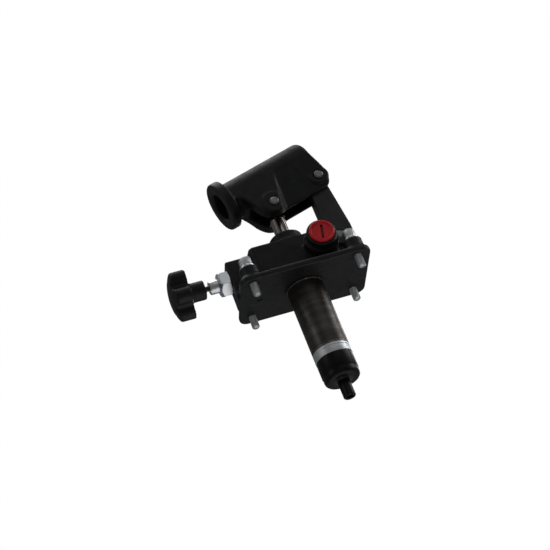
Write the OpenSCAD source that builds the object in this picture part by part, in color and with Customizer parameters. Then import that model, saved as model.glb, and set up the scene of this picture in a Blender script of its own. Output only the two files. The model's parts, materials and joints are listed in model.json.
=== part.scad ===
// Tank-top double-acting hydraulic hand pump, millimetres, Z up.
// Origin: centre of the four flange screws, on the underside of the flange.
// +Z runs up the piston rod, -Z down the barrel into the tank.
// +X points from the release knob to the link arm, +Y to the back of the pump.

/* [Display] */

// Node to draw, or all

/* [Flange] */

// Flange length along X
flange_len = 135; // [120:1:160]
// Flange width along Y
flange_wid = 85; // [75:1:100]
// Flange plate thickness
flange_thk = 8; // [6:0.5:16]
// Rounding of the upper flange edge
flange_er = 4; // [1:0.5:6]
// Flange corner radius
flange_cr = 10; // [4:0.5:14]
// Screw spacing along X
bolt_dx = 108; // [90:1:120]
// Screw spacing along Y
bolt_dy = 63; // [50:1:75]
// Top of the cast bosses under the screw heads
boss_top = 19; // [12:0.5:24]
// Radius of the cast screw bosses
boss_r = 10; // [8:0.5:12]

/* [Flange screws] */

// Screw thread radius, M8
screw_r = 4; // [3:0.5:6]
// Cap head radius
screw_head_r = 6.5; // [5:0.1:9]
// Cap head height
screw_head_h = 8; // [6:0.5:12]
// Screw length under the head
screw_len = 35; // [30:5:50]
// Hexagon socket across flats
screw_key = 6; // [5:0.5:8]

/* [Cast body] */

// Plateau height of the block
block_top = 50; // [40:1:60]
// Half width of the block along Y
block_hy = 20; // [15:0.5:26]
// Left end of the block
block_x0 = -44; // [-52:1:-36]
// Right end of the block
block_x1 = 40; // [30:1:44]
// Radius of the rod tower
tower_r = 17.5; // [15:0.5:20]
// Top of the rod tower
tower_top = 61; // [54:1:70]
// Half width of the release valve lug along Y
rel_hy = 12; // [11:0.5:14]
// Top of the release valve lug
rel_top = 46.5; // [40:0.5:52]

/* [Pressure port] */

// Port axis along X
port_x = 27.5; // [22:0.5:32]
// Port axis height
port_z = 34; // [28:0.5:38]
// Front face of the port boss
port_face = 38.8; // [32:0.1:42]
// Outer radius of the port boss
port_r = 15.3; // [13:0.1:17]
// Red plug head radius
plug_r = 12.8; // [11:0.1:14]
// Red plug head height
plug_h = 2.1; // [2:0.1:6]

/* [Barrel] */

// Barrel outer radius
barrel_r = 19; // [17:0.5:22]
// Barrel bore radius
barrel_bore = 15; // [12:0.5:17]
// Lower end of the full-size barrel
barrel_z = -75.5; // [-100:0.5:-60]
// Height of the silver lock ring
ring_h = 10; // [6:0.5:14]
// Lower face of the suction end cap
cap_z = -110; // [-130:0.5:-95]
// Suction nozzle outer radius
nozzle_r = 6.2; // [5:0.1:8]
// Lower end of the suction nozzle
nozzle_z = -128; // [-140:0.5:-115]
// Suction nozzle hole radius
nozzle_bore = 3.6; // [2.5:0.1:5]

/* [Piston and rod] */

// Piston rod radius
rod_r = 7.75; // [6:0.25:9]
// Lower face of the piston at rest
piston_z0 = -72; // [-74:0.5:-60]
// Upper face of the piston at rest
piston_z1 = -52; // [-60:0.5:-45]
// Rod eye radius
eye_r = 9.5; // [9:0.5:12]
// Half width of the rod eye along Y
eye_hy = 8; // [6:0.5:9]

/* [Linkage] */

// Height of the rod pin A at rest
pin_a_z = 95; // [90:0.5:100]
// Upper link pin B along X
pin_b_x = 55.5; // [50:0.5:60]
// Upper link pin B height
pin_b_z = 116; // [110:0.5:120]
// Lower link pin C along X
pin_c_x = 53.2; // [50:0.5:60]
// Lower link pin C height
pin_c_z = 45; // [40:0.5:50]
// Pin radius
pin_r = 4.75; // [4:0.25:6]
// Half width of the link arm along Y
link_hy = 8; // [6:0.5:9]
// Upper eye radius of the link
link_r1 = 9; // [8:0.5:12]
// Lower eye radius of the link
link_r2 = 12; // [11:0.5:14]
// Extra width of the link foot away from the rod
link_toe = 3; // [0:0.5:4]
// Half gap of the fork at the bottom of the link
link_gap = 5.4; // [4:0.1:6]
// Slot of the open pivot B towards the rod
slot_neg = 0.8; // [0.5:0.1:2]
// Slot of the open pivot B away from the rod
slot_pos = 1.8; // [1:0.1:3]

/* [Handle socket] */

// Tilt of the socket axis, mouth down
sock_tilt = 16.8; // [0:0.1:30]
// Height of the tube axis above pin A, across the tube
sock_v = 35.4; // [34:0.1:42]
// Mouth face along the tube, from pin A
sock_u0 = -42.3; // [-45:0.1:-30]
// Closed end along the tube, from pin A
sock_u1 = 68; // [60:0.5:75]
// Tube outer radius
sock_r = 20; // [18:0.5:22]
// Handle bore radius
sock_bore = 14; // [12:0.5:16]
// Handle bore depth
sock_depth = 88; // [60:1:90]
// Rounding of the closed end
end_r = 8; // [3:0.5:10]
// Collar radius at the mouth
collar_r = 26.2; // [23:0.1:28]
// Collar thickness
collar_t = 10; // [6:0.5:12]
// Half width of the cheeks round pin A
cheek_ya = 21; // [18:0.5:23]
// Half width of the bosses round pin B
cheek_yb = 15.8; // [14:0.1:18]
// Half width of the thin cheek plates at their lower edge
cheek_yp = 12.5; // [11:0.1:14]
// Half width of the same plates where they run into the tube
cheek_yt = 19.2; // [17:0.1:19.5]
// Lower edge of the thin cheek plates below pin A
cheek_drop = 10.5; // [9:0.1:12]
// Half gap between the cheeks
fork_gap = 8.5; // [7:0.1:10]
// Radius of the cheek lobes round the pins
lobe_r = 12; // [10:0.5:14]

/* [Release valve] */

// Release valve axis height
rel_z = 28; // [24:0.5:32]
// Outer face of the valve lug, along -X
rel_x = 69.5; // [64:0.5:72]
// Hexagon across flats
rel_hex = 24; // [19:1:27]
// Hexagon length along X
rel_hex_l = 11.5; // [8:0.5:14]
// Neck radius
rel_neck_r = 7; // [5:0.5:9]
// Neck length along X
rel_neck_l = 10; // [8:0.5:16]
// Spindle radius
spindle_r = 3; // [2:0.25:4]
// Hub radius of the star knob
hub_r = 10; // [8:0.5:12]
// Star knob radius
knob_r = 26; // [20:0.5:30]
// Start of the hub, along -X
hub_x = 95; // [93:0.5:98]
// Start of the star, along -X
star_x = 111; // [108:0.5:114]
// Outer face of the knob, along -X
knob_x = 132; // [126:0.5:138]

/* [Hidden] */

$fn = 96;
cl = 0.05;
head_z = boss_top + 1.6 + 2.2;
hole_r = screw_r + 0.35;
shank_less = 0.25;
shoulder_z = 0.8;
shoulder_w = 0.7;
ring_z = barrel_z - ring_h;
seat_z = cap_z + 12;
ball_r = 4.5;
ball_z = seat_z + sqrt(ball_r * ball_r - 9);
cage_z0 = cap_z + 16.5;
cage_z1 = cap_z + 26.5;
gland_z0 = 28;
gland_z1 = 54;
gland_r = 13;
neck_x = rel_x + rel_hex_l + rel_neck_l;
lobes = 5;
dome_r = 62;
ridge_tilt = 22.4;
ridge_w = -0.5;
ridge_reach = 30;
ridge_lean = 0.75;
boss_b_r = 10.5;
b_u = pin_b_x * cos(sock_tilt) + (pin_b_z - pin_a_z) * sin(sock_tilt);
b_v = -pin_b_x * sin(sock_tilt) + (pin_b_z - pin_a_z) * cos(sock_tilt);

PAINT = [0.11, 0.11, 0.12];
STEEL = [0.42, 0.42, 0.41];
ZINC = [0.78, 0.79, 0.8];
CHROME = [0.86, 0.87, 0.88];
BLACKOX = [0.14, 0.14, 0.14];
BRASS = [0.72, 0.58, 0.3];
RUBBER = [0.06, 0.06, 0.06];
RED = [0.8, 0.08, 0.1];
PLASTIC = [0.1, 0.1, 0.1];

// ---- helpers ----------------------------------------------------------------

// Cylinder along Z between two heights
module post(r, z0, z1) {
    translate([0, 0, z0])
        cylinder(r = r, h = z1 - z0);
}

// Tube along Z between two heights
module tube(ro, ri, z0, z1) {
    difference() {
        post(ro, z0, z1);
        post(ri, z0 - 1, z1 + 1);
    }
}

// Cylinder along -X from x0 to x1 (both counted to the left) at the release valve axis
module left_rod(r, x0, x1) {
    translate([-x0, 0, rel_z])
        rotate([0, -90, 0])
            cylinder(r = r, h = x1 - x0);
}

// Cylinder along Y centred on the XZ point
module cross(x, z, r, y0, y1) {
    translate([x, y1, z])
        rotate([90, 0, 0])
            cylinder(r = r, h = y1 - y0);
}

// Box between two corners
module block(a, b) {
    translate(a)
        cube(b - a);
}

// Plate in the XZ plane between y0 and y1
module slab(points, y0, y1) {
    translate([0, y1, 0])
        rotate([90, 0, 0])
            linear_extrude(y1 - y0)
                polygon(points);
}

// Four screw positions
module at_screws() {
    for (sx = [-1, 1])
        for (sy = [-1, 1])
            translate([sx * bolt_dx / 2, sy * bolt_dy / 2, 0])
                children();
}

// Round wire wound along Z
module helix(rc, rw, z0, z1, turns) {
    steps = 24 * turns;
    side = 8;
    points = [
        for (i = [0 : steps])
            for (k = [0 : side - 1])
                [
                    (rc + rw * cos(360 * k / side)) * cos(360 * i / 24),
                    (rc + rw * cos(360 * k / side)) * sin(360 * i / 24),
                    z0 + rw + (z1 - z0 - 2 * rw) * i / steps + rw * sin(360 * k / side)
                ]
    ];
    walls = [
        for (i = [0 : steps - 1])
            for (k = [0 : side - 1])
                for (t = [0, 1])
                    t == 0
                        ? [i * side + k, (i + 1) * side + k, i * side + (k + 1) % side]
                        : [(i + 1) * side + k, (i + 1) * side + (k + 1) % side, i * side + (k + 1) % side]
    ];
    first = [for (k = [0 : side - 1]) k];
    last = [for (k = [0 : side - 1]) steps * side + side - 1 - k];
    polyhedron(points, concat(walls, [first, last]));
}

// Socket frame: u runs along the tube away from the mouth, v across it, origin at pin A
module in_socket() {
    translate([0, 0, pin_a_z])
        rotate([0, -sock_tilt, 0])
            children();
}

// ---- body and barrel --------------------------------------------------------

// Flange plate with rounded corners and a rounded upper edge
module flange_plate() {
    e = flange_er;
    c = flange_cr;
    hx = flange_len / 2;
    hy = flange_wid / 2;
    zr = flange_thk - e;
    block([-hx + c, -hy, 0], [hx - c, hy, zr]);
    block([-hx, -hy + c, 0], [hx, hy - c, zr]);
    block([-hx + c, -hy + e, 0], [hx - c, hy - e, flange_thk]);
    block([-hx + e, -hy + c, 0], [hx - e, hy - c, flange_thk]);
    for (sy = [-1, 1])
        translate([-hx + c, sy * (hy - e), zr])
            rotate([0, 90, 0])
                cylinder(r = e, h = 2 * (hx - c));
    for (sx = [-1, 1])
        translate([sx * (hx - e), hy - c, zr])
            rotate([90, 0, 0])
                cylinder(r = e, h = 2 * (hy - c));
    for (sx = [-1, 1])
        for (sy = [-1, 1])
            translate([sx * (hx - c), sy * (hy - c), 0]) {
                cylinder(r = c, h = zr);
                cylinder(r = c - e, h = flange_thk);
                translate([0, 0, zr])
                    rotate_extrude()
                        translate([c - e, 0])
                            circle(r = e);
            }
}

module cast_block() {
    c = 6;
    x0 = block_x0;
    x1 = block_x1;
    h = block_hy;
    block([x0 + c, -h, 0], [x1 - c, h, block_top]);
    block([x0, -h + c, 0], [x1, h - c, block_top]);
    for (x = [x0 + c, x1 - c])
        for (y = [-h + c, h - c])
            translate([x, y, 0])
                cylinder(r = c, h = block_top);
}

module release_lug() {
    c = 3;
    h = rel_hy;
    block([-rel_x, -h, 0], [block_x0 + 8, h, rel_top - c]);
    block([-rel_x, -h + c, 0], [block_x0 + 8, h - c, rel_top]);
    for (y = [-h + c, h - c])
        translate([-rel_x, y, rel_top - c])
            rotate([0, 90, 0])
                cylinder(r = c, h = rel_x + block_x0 + 8);
}

module link_lug() {
    cross(pin_c_x, pin_c_z, link_r2 - 2, -link_gap + 0.4, link_gap - 0.4);
    block([pin_c_x - link_r2 + 2, -link_gap + 0.4, 0], [pin_c_x + link_r2 - 2, link_gap - 0.4, pin_c_z]);
    block([block_x1 - 6, -link_gap + 0.4, 0], [pin_c_x, link_gap - 0.4, 28]);
}

module pump_body() {
    color(PAINT)
        difference() {
            union() {
                flange_plate();
                at_screws()
                    post(boss_r, 0, boss_top);
                cast_block();
                post(tower_r, 0, tower_top - 1.5);
                post(tower_r - 1.5, 0, tower_top);
                release_lug();
                link_lug();
                cross(port_x, port_z, port_r, -port_face, 0);
                difference() {
                    cross(port_x, port_z, port_r + 3, -port_face + 8.3, 0);
                    block([port_x - 30, -50, port_z], [port_x + 30, 1, port_z + 30]);
                }
            }
            at_screws()
                post(hole_r, -1, boss_top + 1);
            post(barrel_r + cl, -1, 12);
            post(barrel_r + shoulder_w + 0.3, -1, shoulder_z + 0.05);
            post(9, 11, gland_z0 + 1);
            post(gland_r + cl, gland_z0, tower_top + 1);
            left_rod(8 + cl, rel_x - 18, rel_x + 1);
            left_rod(3.2, rel_x - 26, rel_x - 17);
            left_rod(2, 8, rel_x - 25);
            translate([-47, 1, -1])
                cylinder(r = 3, h = rel_z + 1);
            cross(port_x, port_z, 10.3 + cl, -port_face - 1, -14);
            cross(port_x, port_z, 3.5, -15, -1);
            translate([port_x, -2, port_z])
                rotate([0, -90, 0])
                    cylinder(r = 3, h = port_x);
            cross(pin_c_x, pin_c_z, pin_r + 0.06, -20, 20);
        }
}

module pump_barrel() {
    color(STEEL)
        difference() {
            union() {
                post(barrel_r, barrel_z, 11.5);
                post(barrel_r + shoulder_w, -1.4, shoulder_z);
                post(barrel_r - 2, ring_z - 8, barrel_z + 1);
            }
            post(barrel_bore, ring_z - 9, 13);
            difference() {
                post(barrel_r + 1, 5, 8);
                post(barrel_r - 1.8, 4, 9);
            }
        }
}

module barrel_oring() {
    color(RUBBER)
        tube(barrel_r, barrel_r - 1.75, 5.2, 7.8);
}

module barrel_lock_ring() {
    color(ZINC)
        difference() {
            tube(barrel_r, barrel_r - 2 + cl, ring_z + 0.1, barrel_z - 0.1);
            tube(barrel_r + 1, barrel_r - 0.4, ring_z + 6.6, ring_z + 7.2);
        }
}

module suction_end_cap() {
    color(BLACKOX)
        difference() {
            union() {
                post(barrel_r - 0.3, cap_z + 8.5, ring_z);
                post(barrel_r - 0.8, cap_z + 6, cap_z + 9);
                post(barrel_r - 6.8, cap_z, cap_z + 8);
                translate([0, 0, cap_z + 6])
                    rotate_extrude()
                        translate([barrel_r - 6.8, 0])
                            circle(r = 6);
                post(barrel_r - 6.8, cap_z, cap_z + 8);
            }
            post(barrel_r - 2 + cl, cage_z0 - 0.1, ring_z + 1);
            post(12, cap_z + 9.5, ring_z);
            post(5.6, cap_z - 1, cap_z + 10);
        }
}

module suction_nozzle() {
    color(BLACKOX)
        difference() {
            union() {
                post(nozzle_r, nozzle_z + 0.8, cap_z - 0.05);
                post(nozzle_r - 0.6, nozzle_z, nozzle_z + 1);
                post(5.55, cap_z - 1, cap_z + 9);
            }
            post(nozzle_bore, nozzle_z - 1, cap_z + 10);
        }
}

module suction_seat() {
    color(BRASS)
        tube(11.95, 3, cap_z + 9.55, seat_z);
}

module suction_ball() {
    color(CHROME)
        translate([0, 0, ball_z])
            sphere(r = ball_r);
}

module suction_spring() {
    color(ZINC)
        helix(3, 0.4, ball_z + 3.9, cage_z1 - 2.95, 3);
}

module suction_cage() {
    color(BRASS)
        difference() {
            post(barrel_bore - cl, cage_z0, cage_z1);
            post(4.8, cage_z0 - 1, cage_z1 - 2.5);
            for (a = [0 : 60 : 300])
                rotate([0, 0, a])
                    translate([9.9, 0, cage_z0 - 1])
                        cylinder(r = 2, h = cage_z1 - cage_z0 + 2);
            post(1.6, cage_z0, cage_z1 + 1);
        }
}

// ---- piston group -----------------------------------------------------------

module piston() {
    color(STEEL)
        difference() {
            post(barrel_bore - 0.06, piston_z0, piston_z1);
            post(5.52, piston_z0 - 1, piston_z1 + 1);
            tube(barrel_bore + 1, barrel_bore - 3.2, piston_z0 + 4, piston_z0 + 8);
            tube(barrel_bore + 1, barrel_bore - 2, piston_z0 + 11, piston_z0 + 16);
        }
}

module piston_seal() {
    color(RUBBER)
        tube(barrel_bore - 0.05, barrel_bore - 3.15, piston_z0 + 4.05, piston_z0 + 7.95);
}

module piston_wear_ring() {
    color(BRASS)
        tube(barrel_bore - 0.05, barrel_bore - 1.95, piston_z0 + 11.05, piston_z0 + 15.95);
}

module piston_nut() {
    color(ZINC)
        difference() {
            translate([0, 0, piston_z0 - 5.5])
                cylinder(r = 9.8, h = 5.45, $fn = 6);
            post(5.52, piston_z0 - 7, piston_z0 + 1);
        }
}

module piston_rod() {
    color(CHROME)
        difference() {
            union() {
                post(5.5, piston_z0 - 7, piston_z1 + 1);
                post(rod_r, piston_z1, pin_a_z - 10);
                cross(0, pin_a_z, eye_r, -eye_hy, eye_hy);
                block([-rod_r, -rod_r + 0.75, pin_a_z - 12], [rod_r, rod_r - 0.75, pin_a_z]);
            }
            cross(0, pin_a_z, pin_r + 0.06, -20, 20);
        }
}

// ---- rod gland --------------------------------------------------------------

module rod_gland() {
    color(BRASS)
        difference() {
            post(gland_r, gland_z0 + 0.1, gland_z1);
            post(rod_r + 0.06, gland_z0 - 1, gland_z1 + 1);
            post(rod_r + 3.6, gland_z1 - 9, gland_z1 + 1);
            tube(gland_r + 1, gland_r - 2, gland_z0 + 8, gland_z0 + 11);
        }
}

module gland_oring() {
    color(RUBBER)
        tube(gland_r, gland_r - 1.95, gland_z0 + 8.1, gland_z0 + 10.9);
}

module rod_seal() {
    color(RUBBER)
        tube(rod_r + 3.55, rod_r + 0.05, gland_z1 - 8.9, gland_z1 - 0.1);
}

module gland_nut() {
    color(BLACKOX)
        difference() {
            post(gland_r, gland_z1 + 0.05, tower_top - 0.4);
            post(rod_r + 0.3, gland_z1 - 1, tower_top + 1);
            post(rod_r + 3.1, tower_top - 5, tower_top + 1);
            for (a = [0 : 90 : 270])
                rotate([0, 0, a])
                    translate([gland_r - 0.9, 0, tower_top - 3])
                        cylinder(r = 1.3, h = 5);
        }
}

module rod_wiper() {
    color(RUBBER) {
        tube(rod_r + 3.05, rod_r + 0.05, tower_top - 4.9, tower_top - 0.4);
        tube(rod_r + 1.6, rod_r + 0.05, tower_top - 0.4, tower_top + 0.9);
    }
}

// ---- release valve ----------------------------------------------------------

module release_valve_body() {
    color(ZINC)
        difference() {
            union() {
                translate([-rel_x - 0.05, 0, rel_z])
                    rotate([0, -90, 0])
                        cylinder(r = rel_hex / 2 / cos(30), h = rel_hex_l - 0.05, $fn = 6);
                left_rod(rel_neck_r, rel_x + rel_hex_l - 1, neck_x);
                left_rod(8, rel_x - 17.5, rel_x + 1);
            }
            left_rod(spindle_r + 0.06, rel_x - 19, neck_x + 1);
            difference() {
                left_rod(rel_neck_r - 2, neck_x - 5, neck_x - 2.5);
                left_rod(spindle_r - 1, neck_x - 6, neck_x - 1);
            }
        }
}

module release_oring() {
    color(RUBBER)
        difference() {
            left_rod(rel_neck_r - 2.05, neck_x - 4.9, neck_x - 2.6);
            left_rod(spindle_r + 0.05, neck_x - 6, neck_x - 1);
        }
}

module release_spindle() {
    color(STEEL) {
        left_rod(spindle_r, rel_x - 22, star_x + 4);
        translate([-rel_x + 22, 0, rel_z])
            rotate([0, 90, 0])
                cylinder(r1 = spindle_r, r2 = 0.6, h = 3.6);
    }
}

module release_knob() {
    t = knob_x - star_x;
    color(PLASTIC)
        difference() {
            union() {
                left_rod(hub_r, hub_x, star_x + 2);
                intersection() {
                    translate([-star_x, 0, rel_z])
                        rotate([0, -90, 0])
                            union() {
                                cylinder(r = knob_r * 0.66, h = t);
                                for (k = [0 : lobes - 1])
                                    rotate([0, 0, 360 / lobes * k - 120])
                                        translate([knob_r - 8.2, 0, 0])
                                            cylinder(r = 8.2, h = t);
                            }
                    translate([-star_x + dome_r - t, 0, rel_z])
                        sphere(r = dome_r, $fn = 128);
                }
            }
            left_rod(5.05, hub_x - 1, star_x + 8);
        }
}

module knob_insert() {
    color(BRASS)
        difference() {
            left_rod(5, hub_x + 0.1, star_x + 7.9);
            left_rod(spindle_r + 0.04, hub_x - 1, star_x + 4.1);
        }
}

// ---- pressure port ----------------------------------------------------------

module port_plug() {
    color(RED)
        difference() {
            union() {
                cross(port_x, port_z, plug_r, -port_face - plug_h + 0.8, -port_face - 0.05);
                cross(port_x, port_z, plug_r - 0.8, -port_face - plug_h, -port_face - 1);
                cross(port_x, port_z, 10.2, -port_face - 1, -port_face + 9);
            }
            cross(port_x, port_z, 8, -port_face + 2, -port_face + 11);
            cross(port_x, port_z, 9.6, -port_face - 6, -port_face - plug_h + 1.2);
            translate([port_x, 0, port_z])
                rotate([0, 12, 0])
                    block([-1.3, -port_face - 6, -9], [1.3, -port_face - plug_h + 2.6, 9]);
        }
}

module delivery_seat() {
    color(BRASS)
        difference() {
            cross(port_x, port_z, 10.3, -18, -14.05);
            cross(port_x, port_z, 3.4, -19, -13);
        }
}

module delivery_ball() {
    color(CHROME)
        translate([port_x, -18 - sqrt(4.5 * 4.5 - 3.4 * 3.4), port_z])
            sphere(r = 4.5);
}

// ---- screws -----------------------------------------------------------------

module flange_screws() {
    color(ZINC)
        at_screws()
            difference() {
                union() {
                    post(screw_head_r, head_z, head_z + screw_head_h - 0.5);
                    post(screw_head_r - 0.5, head_z, head_z + screw_head_h);
                    post(screw_r, head_z - screw_len + 0.8, 0);
                    post(screw_r - 0.7, head_z - screw_len, head_z);
                    post(screw_r - shank_less, -0.5, head_z + 1);
                }
                translate([0, 0, head_z + screw_head_h - 4.5])
                    cylinder(r = screw_key / 2 / cos(30), h = 6, $fn = 6);
            }
}

module spring_washers() {
    color(ZINC)
        at_screws()
            difference() {
                tube(6.4, hole_r, head_z - 2.15, head_z - 0.05);
                block([4, -0.5, head_z - 4], [8, 0.5, head_z + 2]);
            }
}

module flat_washers() {
    color(ZINC)
        at_screws()
            tube(8, hole_r, boss_top + 0.05, boss_top + 1.6);
}

// ---- linkage ----------------------------------------------------------------

module link_arm() {
    bore = pin_r + 0.35;
    color(PAINT)
        difference() {
            union() {
                cross(pin_b_x + 0.5, pin_b_z, link_r1, -link_hy, link_hy);
                cross(pin_c_x, pin_c_z, link_r2, -link_hy, link_hy);
                cross(pin_c_x + link_toe, pin_c_z, link_r2, -link_hy, link_hy);
                slab([
                    [pin_c_x - link_r2, pin_c_z],
                    [pin_c_x - link_r2, pin_b_z - 13],
                    [pin_b_x - 8.3, pin_b_z],
                    [pin_b_x + 0.5, pin_b_z],
                    [pin_b_x + 5.5, pin_b_z - 7.4],
                    [pin_b_x + 7, pin_b_z - 11],
                    [pin_c_x + link_r2 + link_toe, pin_c_z + 8],
                    [pin_c_x + link_r2 + link_toe, pin_c_z]
                ], -link_hy, link_hy);
            }
            cross(pin_b_x - slot_neg, pin_b_z, bore, -20, 20);
            cross(pin_b_x + slot_pos, pin_b_z, bore, -20, 20);
            block([pin_b_x - slot_neg, -20, pin_b_z - bore], [pin_b_x + slot_pos, 20, pin_b_z + bore]);
            cross(pin_c_x, pin_c_z, pin_r + 0.02, -20, 20);
            cross(pin_c_x, pin_c_z, link_r2 + 1.5, -link_gap, link_gap);
            block([pin_c_x - 30, -link_gap, pin_c_z - 30], [pin_c_x + 30, link_gap, pin_c_z]);
        }
}

module pin(x, z, y0, y1, groove) {
    difference() {
        union() {
            cross(x, z, pin_r, y0 + 0.6, y1 - 0.6);
            cross(x, z, pin_r - 0.6, y0, y1);
        }
        for (y = groove)
            difference() {
                cross(x, z, pin_r + 1, y, y + 1.1);
                cross(x, z, pin_r - 0.5, y - 1, y + 2);
            }
    }
}

module clip(x, z, y) {
    difference() {
        cross(x, z, pin_r + 2.4, y + 0.05, y + 1.05);
        cross(x, z, pin_r - 0.45, y - 1, y + 2);
        block([x - 1.6, y - 1, z - pin_r - 4], [x + 1.6, y + 2, z]);
    }
}

module link_lower_pin() {
    color(ZINC)
        pin(pin_c_x, pin_c_z, -link_hy - 0.2, link_hy + 2.8, [link_hy + 0.4]);
}

module lower_pin_clip() {
    color(STEEL)
        clip(pin_c_x, pin_c_z, link_hy + 0.4);
}

// ---- handle socket ----------------------------------------------------------

// Round body of the socket, along u
module along(r, u0, u1) {
    translate([u0, 0, sock_v])
        rotate([0, 90, 0])
            cylinder(r = r, h = u1 - u0);
}

// Wide cheeks round pin A, cut at the front and back by a ridge that slopes down to the thin plates
module wide_cheeks() {
    inner = cheek_yp - 0.5;
    intersection() {
        union() {
            cross(0, 0, lobe_r, -cheek_ya, cheek_ya);
            slab([
                [sock_u0 + collar_t - 1, sock_v],
                [sock_u0 + collar_t - 1, sock_v - 8],
                [-25, 22],
                [-21.5, 13],
                [-18.5, 2],
                [-15.5, -4],
                [-11.5, -8.2],
                [-6, -lobe_r * 0.87],
                [0, -lobe_r],
                [12, 0.4 - cheek_drop],
                [30, sock_v - 6],
                [30, sock_v]
            ], -sock_r, sock_r);
        }
        rotate([0, ridge_tilt, 0])
            linear_extrude(160, center = true)
                polygon([
                    [-60, -ridge_reach],
                    [ridge_w, -ridge_reach],
                    [ridge_w + ridge_lean * (ridge_reach - inner), -inner],
                    [ridge_w + ridge_lean * (ridge_reach - inner), inner],
                    [ridge_w, ridge_reach],
                    [-60, ridge_reach]
                ]);
    }
}

// Cheek plates between the pins and up to the closed end: they lean out towards the tube and run into it
module thin_cheeks() {
    c = 8.5;
    lean = (cheek_yt - cheek_yp) / (sock_v - 5.4 + cheek_drop);
    below = 4;
    above = 4;
    intersection() {
        union() {
            cross(b_u, b_v, lobe_r - 1, -sock_r, sock_r);
            cross(b_u - 0.7, c - cheek_drop, c, -sock_r, sock_r);
            slab([
                [0, -cheek_drop],
                [b_u - 0.7, -cheek_drop],
                [b_u - 0.7 + c, c - cheek_drop],
                [b_u + lobe_r - 1, b_v],
                [sock_u1 + 0.4, sock_v - 18],
                [sock_u1 - 2.5, sock_v - 2],
                [0, sock_v - 2]
            ], -sock_r, sock_r);
        }
        rotate([90, 0, 90])
            linear_extrude(sock_u1 + 20)
                polygon([
                    [-cheek_yp + lean * below, -cheek_drop - below],
                    [cheek_yp - lean * below, -cheek_drop - below],
                    [cheek_yt + lean * above, sock_v - 5.4 + above],
                    [-cheek_yt - lean * above, sock_v - 5.4 + above]
                ]);
    }
}

module handle_socket() {
    color(PAINT)
        in_socket()
            difference() {
                union() {
                    along(sock_r, sock_u0 + 1, sock_u1 - end_r);
                    along(sock_r - end_r, sock_u0 + 1, sock_u1);
                    translate([sock_u1 - end_r, 0, sock_v])
                        rotate([0, 90, 0])
                            rotate_extrude()
                                translate([sock_r - end_r, 0])
                                    circle(r = end_r);
                    along(collar_r, sock_u0 + 1, sock_u0 + collar_t);
                    along(collar_r - 1, sock_u0, sock_u0 + 2);
                    wide_cheeks();
                    thin_cheeks();
                    cross(b_u, b_v, boss_b_r, -cheek_yb, cheek_yb);
                }
                along(sock_bore, sock_u0 - 1, sock_u0 + sock_depth);
                translate([sock_u0 - 0.5, 0, sock_v])
                    rotate([0, 90, 0])
                        cylinder(r1 = sock_bore + 2, r2 = sock_bore, h = 2);
                block([sock_u0 + collar_t + 1, -fork_gap, -40], [100, fork_gap, sock_v - sock_r - 1.5]);
                cross(0, 0, pin_r + 0.02, -40, 40);
                cross(b_u, b_v, pin_r + 0.02, -40, 40);
            }
}

module rod_pin() {
    color(ZINC)
        pin(0, pin_a_z, -cheek_ya - 1, cheek_ya + 2.6, [cheek_ya + 0.2]);
}

module link_upper_pin() {
    color(ZINC)
        pin(pin_b_x, pin_b_z, -cheek_yb - 1, cheek_yb + 2.6, [cheek_yb + 0.2]);
}

module socket_pin_clips() {
    color(STEEL) {
        clip(0, pin_a_z, cheek_ya + 0.2);
        clip(pin_b_x, pin_b_z, cheek_yb + 0.2);
    }
}

// ---- drawing ----------------------------------------------------------------

pump_body();
pump_barrel();
barrel_oring();
barrel_lock_ring();
suction_end_cap();
suction_nozzle();
suction_seat();
suction_ball();
suction_spring();
suction_cage();
piston();
piston_seal();
piston_wear_ring();
piston_nut();
piston_rod();
rod_gland();
gland_oring();
rod_seal();
gland_nut();
rod_wiper();
release_valve_body();
release_oring();
release_spindle();
release_knob();
knob_insert();
port_plug();
delivery_seat();
delivery_ball();
flange_screws();
spring_washers();
flat_washers();
link_arm();
link_lower_pin();
lower_pin_clip();
handle_socket();
rod_pin();
link_upper_pin();
socket_pin_clips();
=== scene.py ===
"""Looks of the tank-top hydraulic hand pump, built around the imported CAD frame. Metres, Z up."""

import json
import math

import bmesh
import bpy
import numpy as np
import openvdb
from mathutils import Matrix, Vector


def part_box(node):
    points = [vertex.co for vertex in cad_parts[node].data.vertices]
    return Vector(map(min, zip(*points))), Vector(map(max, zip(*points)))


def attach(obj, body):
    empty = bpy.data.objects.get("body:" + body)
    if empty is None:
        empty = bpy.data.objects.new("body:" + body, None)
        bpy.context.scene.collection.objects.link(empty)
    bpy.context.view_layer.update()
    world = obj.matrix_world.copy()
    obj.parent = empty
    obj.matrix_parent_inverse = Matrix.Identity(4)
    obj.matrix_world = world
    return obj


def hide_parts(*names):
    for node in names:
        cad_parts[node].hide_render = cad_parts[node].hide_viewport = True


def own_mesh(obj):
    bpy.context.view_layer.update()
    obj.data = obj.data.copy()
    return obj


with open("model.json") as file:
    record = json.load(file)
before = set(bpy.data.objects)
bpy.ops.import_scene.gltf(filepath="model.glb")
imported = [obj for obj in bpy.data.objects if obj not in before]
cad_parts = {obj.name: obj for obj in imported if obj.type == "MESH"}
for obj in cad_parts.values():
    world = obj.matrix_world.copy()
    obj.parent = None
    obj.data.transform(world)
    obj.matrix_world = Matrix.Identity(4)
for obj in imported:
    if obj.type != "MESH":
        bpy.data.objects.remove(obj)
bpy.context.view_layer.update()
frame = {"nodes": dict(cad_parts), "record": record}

MM = 0.001
SHARP_ANGLE = math.radians(32)
THREAD_PITCH = 1.25 * MM
SEGMENTS = 96
PAINT_RELIEF = 0.15 * MM
WASHER_HOLE = 4.35 * MM
LINK_CHEEK_HALF = 15.8 * MM
WHITE = (1, 1, 1)


# ---- frame facts ---------------------------------------------------------------------------


def low(node):
    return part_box(node)[0]


def high(node):
    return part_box(node)[1]


def centre(node):
    lo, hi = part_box(node)
    return (lo + hi) / 2


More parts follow.
